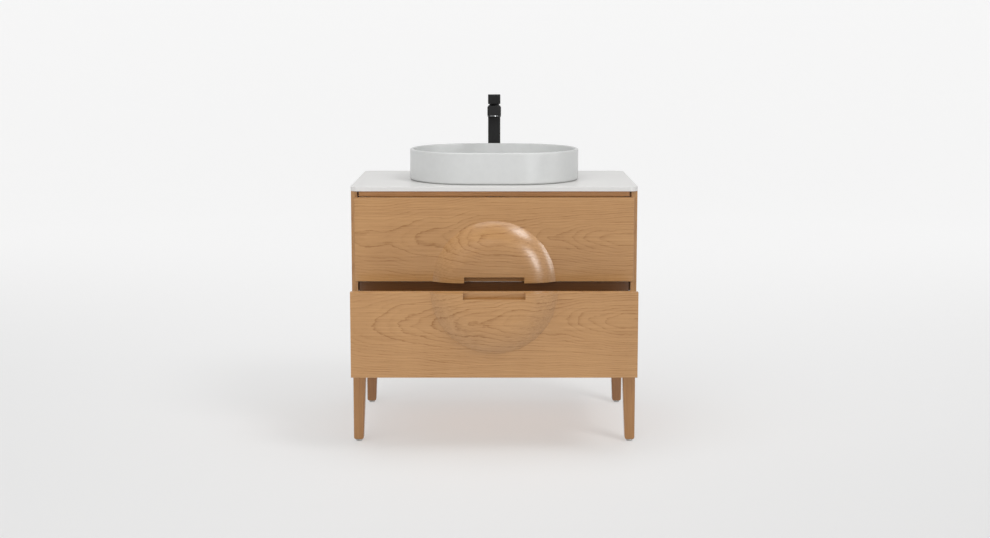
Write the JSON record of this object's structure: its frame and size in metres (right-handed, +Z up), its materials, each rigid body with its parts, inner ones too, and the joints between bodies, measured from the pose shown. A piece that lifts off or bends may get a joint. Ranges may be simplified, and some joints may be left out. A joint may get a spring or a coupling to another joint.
{
  "type": "vanity unit with vessel sink",
  "caption": "Oak bathroom vanity on tapered legs with stone top, oval-ended vessel sink, black pillar tap and stacked drawers sharing a round raised relief with finger pulls.",
  "frame": {"origin": "middle of the whole vanity's box at floor level, with the lower drawer standing open as at rest", "axes": "+X to the right seen from the front, +Y from the front to the wall, +Z up"},
  "size_m": [0.8, 0.656, 0.967],
  "materials": {
    "oak": "open-grained oiled oak, satin",
    "oak_front": "flat-sawn oak veneer under satin lacquer",
    "drawer_birch": "birch plywood, matt lacquer",
    "stone_top": "fine-grained light stone, satin",
    "basin_ceramic": "matt white-grey glaze",
    "tap_black": "matt black powder coat",
    "slide_steel": "bright zinc-plated sheet",
    "zinc_steel": "zinc plated",
    "glide_steel": "satin nickel-plated",
    "chrome_fitting": "polished chrome",
    "brass_stem": "turned brass",
    "black_rubber": "matt",
    "sealant": "grey silicone, satin"
  },
  "bodies": {
    "cabinet": {"side_left": "oak", "side_right": "oak", "bottom_panel": "oak", "top_rail": "oak", "mid_rail": "oak", "back_rail_upper": "oak", "back_rail_lower": "oak", "countertop": "stone_top", "leg_front_left": "oak", "leg_front_right": "oak", "leg_back_left": "oak", "leg_back_right": "oak", "leg_bolts": "zinc_steel", "glides": "glide_steel", "basin": "basin_ceramic", "basin_seal": "sealant", "waste_flange": "chrome_fitting", "waste_nut": "chrome_fitting", "waste_washer": "black_rubber", "trap_inlet": "chrome_fitting", "trap_nuts": "chrome_fitting", "trap_body": "chrome_fitting", "trap_cup": "chrome_fitting", "trap_outlet": "chrome_fitting", "tap_gasket": "black_rubber", "tap_column": "tap_black", "tap_spout": "tap_black", "tap_aerator": "chrome_fitting", "tap_cartridge": "zinc_steel", "tap_shank": "brass_stem", "tap_washer": "black_rubber", "tap_nut": "brass_stem", "rail_dowels": "drawer_birch", "upper_rail_outer": "slide_steel", "lower_rail_outer": "slide_steel"},
    "upper_slide": {"upper_rail_middle": "slide_steel"},
    "upper_drawer": {"upper_front": "oak_front", "upper_side_left": "drawer_birch", "upper_side_right": "drawer_birch", "upper_back_left": "drawer_birch", "upper_back_right": "drawer_birch", "upper_bay_walls": "drawer_birch", "upper_base": "drawer_birch", "upper_rail_inner": "slide_steel", "front_screws_upper": "zinc_steel"},
    "lower_slide": {"lower_rail_middle": "slide_steel"},
    "lower_drawer": {"lower_front": "oak_front", "lower_side_left": "drawer_birch", "lower_side_right": "drawer_birch", "lower_back": "drawer_birch", "lower_base": "drawer_birch", "lower_rail_inner": "slide_steel", "front_screws_lower": "zinc_steel"},
    "tap_swivel": {"tap_dome": "tap_black"},
    "tap_lever": {"tap_stem": "brass_stem", "tap_handle": "tap_black", "tap_grub_screw": "zinc_steel"},
    "drain_plug": {"waste_plug": "chrome_fitting"}
  },
  "joints": [
    {"name": "upper_drawer_slide", "type": "slide", "parent": "cabinet", "child": "upper_drawer", "axis": [0, -1, 0], "range_m": [0, 0.38]},
    {"name": "upper_slide_run", "type": "slide", "parent": "cabinet", "child": "upper_slide", "axis": [0, -1, 0], "range_m": [0, 0.19]},
    {"name": "lower_drawer_slide", "type": "slide", "parent": "cabinet", "child": "lower_drawer", "axis": [0, -1, 0], "range_m": [-0.146, 0.234]},
    {"name": "lower_slide_run", "type": "slide", "parent": "cabinet", "child": "lower_slide", "axis": [0, -1, 0], "range_m": [-0.073, 0.117]},
    {"name": "tap_turn", "type": "hinge", "parent": "cabinet", "child": "tap_swivel", "pos_m": [0, 0.298, 0.93], "axis": [0, 0, 1], "range_deg": [-45, 45]},
    {"name": "tap_lift", "type": "hinge", "parent": "tap_swivel", "child": "tap_lever", "pos_m": [0, 0.298, 0.93], "axis": [-1, 0, 0], "range_deg": [0, 15]},
    {"name": "plug_lift", "type": "slide", "parent": "cabinet", "child": "drain_plug", "axis": [0, 0, 1], "range_m": [0, 0.008]}
  ],
  "couplings": [
    {"joint": "upper_slide_run", "follows": "upper_drawer_slide", "ratio": 0.5},
    {"joint": "lower_slide_run", "follows": "lower_drawer_slide", "ratio": 0.5}
  ]
}
